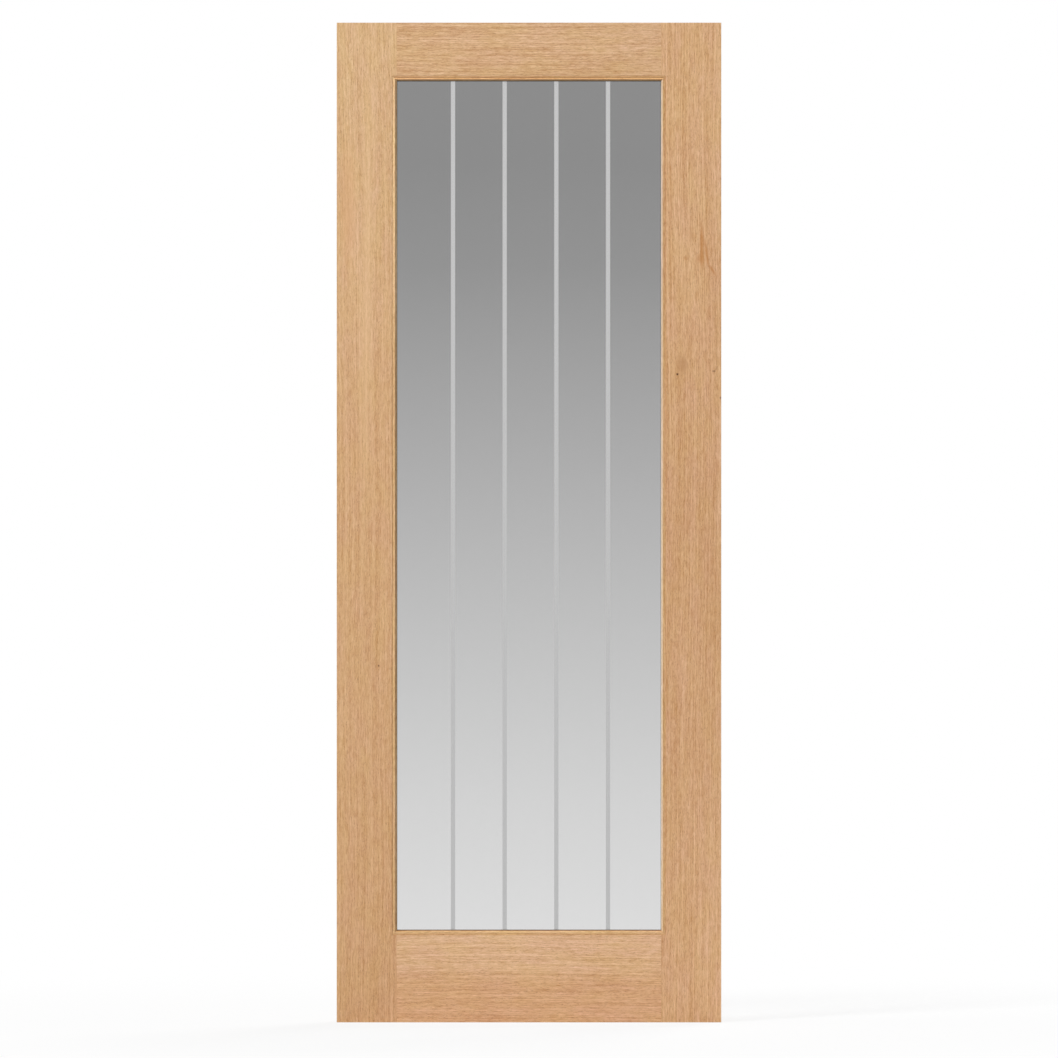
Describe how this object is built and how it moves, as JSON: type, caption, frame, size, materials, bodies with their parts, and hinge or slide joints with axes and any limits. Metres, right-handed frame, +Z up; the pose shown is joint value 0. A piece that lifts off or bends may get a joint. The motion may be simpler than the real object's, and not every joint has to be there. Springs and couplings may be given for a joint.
{
  "type": "glazed fire door",
  "caption": "Flat oak-veneered door leaf with a tall fire-rated glass pane, held by mitred moulded beads and marked with etched vertical lines.",
  "frame": {"origin": "on the hinge edge of the leaf, at the middle of its thickness and at its foot", "axes": "+X across the leaf from the hinge edge to the lock edge, +Y through the thickness from the beaded front to the back, +Z up"},
  "size_m": [0.762, 0.044, 1.981],
  "materials": {
    "oak_veneer": "satin",
    "oak_solid": "satin",
    "core_timber": "matte",
    "intumescent_channel": "matte",
    "etched_glass": "polished"
  },
  "bodies": {
    "root": {"hinge_stile_core": "core_timber", "hinge_stile_outer_lipping": "oak_solid", "hinge_stile_inner_lipping": "oak_solid", "hinge_stile_front_veneer": "oak_veneer", "hinge_stile_back_veneer": "oak_veneer", "lock_stile_core": "core_timber", "lock_stile_outer_lipping": "oak_solid", "lock_stile_inner_lipping": "oak_solid", "lock_stile_front_veneer": "oak_veneer", "lock_stile_back_veneer": "oak_veneer", "top_rail_core": "core_timber", "top_rail_outer_lipping": "oak_solid", "top_rail_inner_lipping": "oak_solid", "top_rail_front_veneer": "oak_veneer", "top_rail_back_veneer": "oak_veneer", "bottom_rail_core": "core_timber", "bottom_rail_outer_lipping": "oak_solid", "bottom_rail_inner_lipping": "oak_solid", "bottom_rail_front_veneer": "oak_veneer", "bottom_rail_back_veneer": "oak_veneer", "glazing_bead_top": "oak_solid", "glazing_bead_bottom": "oak_solid", "glazing_bead_hinge_side": "oak_solid", "glazing_bead_lock_side": "oak_solid", "glazing_channel_top": "intumescent_channel", "glazing_channel_bottom": "intumescent_channel", "glazing_channel_hinge_side": "intumescent_channel", "glazing_channel_lock_side": "intumescent_channel", "glass_pane": "etched_glass"}
  },
  "joints": []
}
